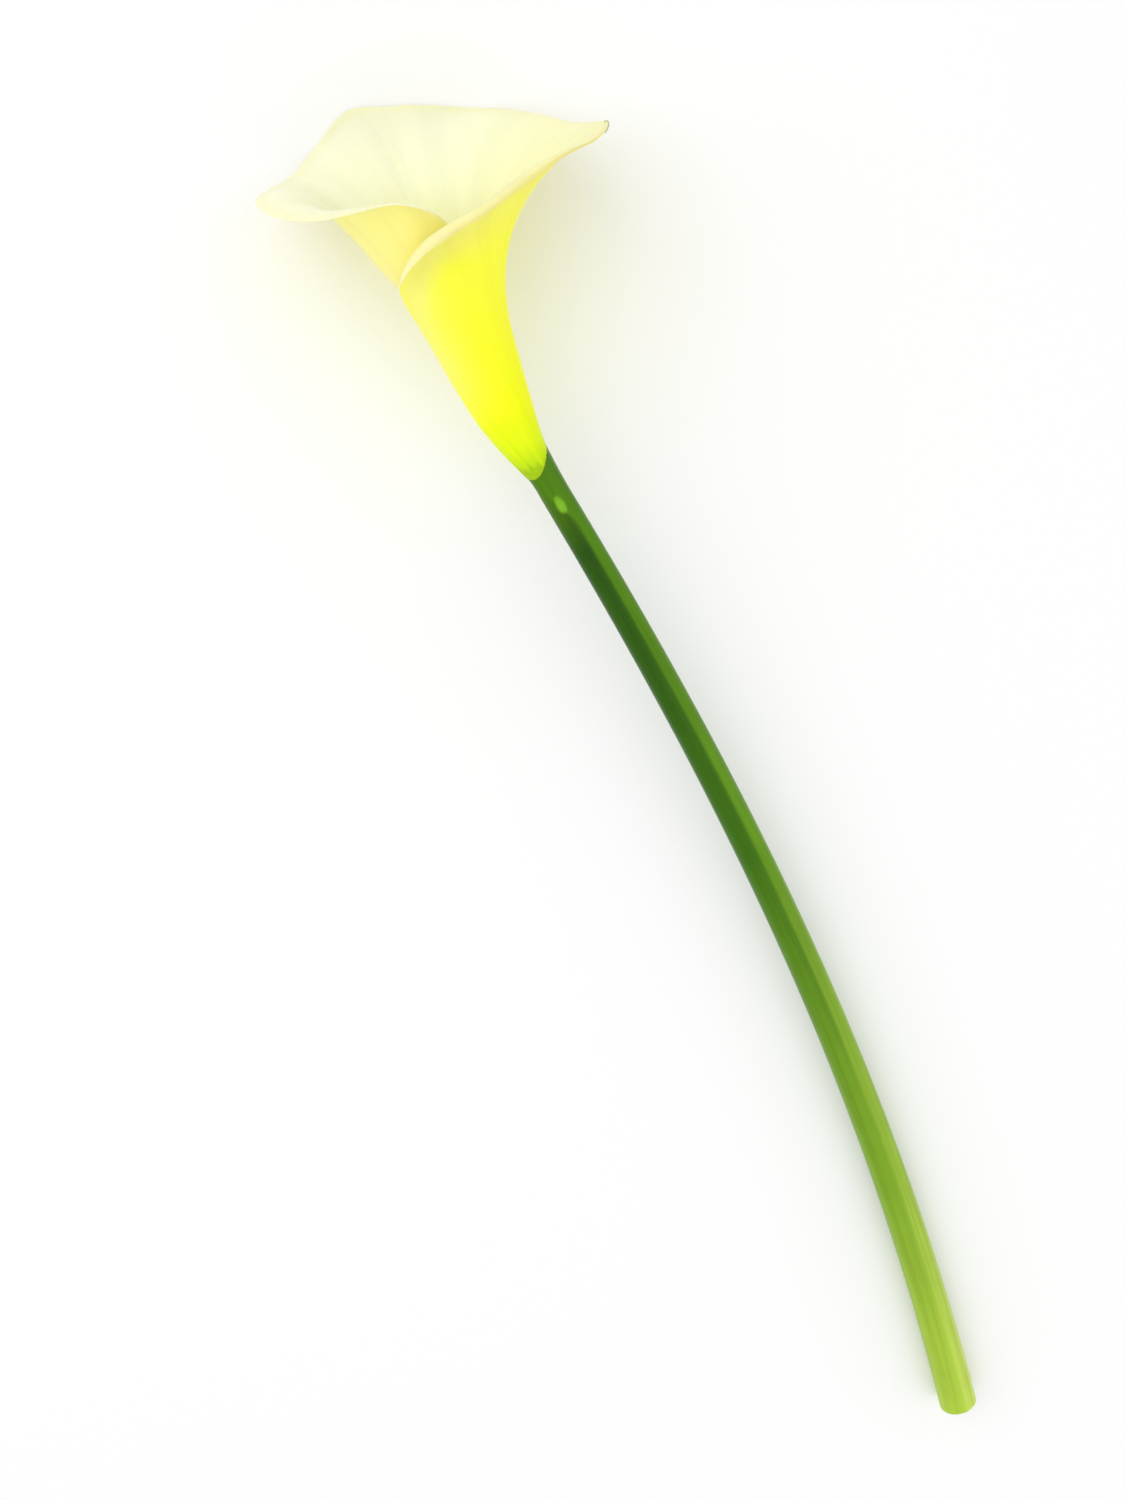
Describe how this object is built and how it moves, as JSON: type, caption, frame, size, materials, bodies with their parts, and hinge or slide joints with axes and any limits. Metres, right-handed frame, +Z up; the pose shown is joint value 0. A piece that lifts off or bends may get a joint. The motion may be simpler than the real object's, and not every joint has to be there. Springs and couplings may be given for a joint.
{
  "type": "arum lily flower",
  "caption": "Cut arum lily lying on its back: a cream funnel-shaped spathe rolled round a yellow spadix, on a long smooth green stem.",
  "frame": {"origin": "middle of the underside of the bounding box, on the surface that the flower lies on", "axes": "+Z up; +X along the flower's length, from the stem's cut foot to the mouth of the spathe; the spathe's pointed tip lies towards -Y"},
  "size_m": [0.4246, 0.0934, 0.0586],
  "materials": {
    "spathe": "satin waxy petal, pale cream at the mouth, lemon yellow down the tube, yellow-green at the foot",
    "ovaries": "smooth fresh green ovaries with pale stubby styles",
    "pollen": "dry matt golden pollen florets",
    "stem": "smooth glossy fleshy green, paler and yellower towards the cut foot"
  },
  "bodies": {
    "root": {"spathe": "spathe", "spadix_ovaries": "ovaries", "spadix_pollen_florets": "pollen", "stem": "stem"}
  },
  "joints": []
}
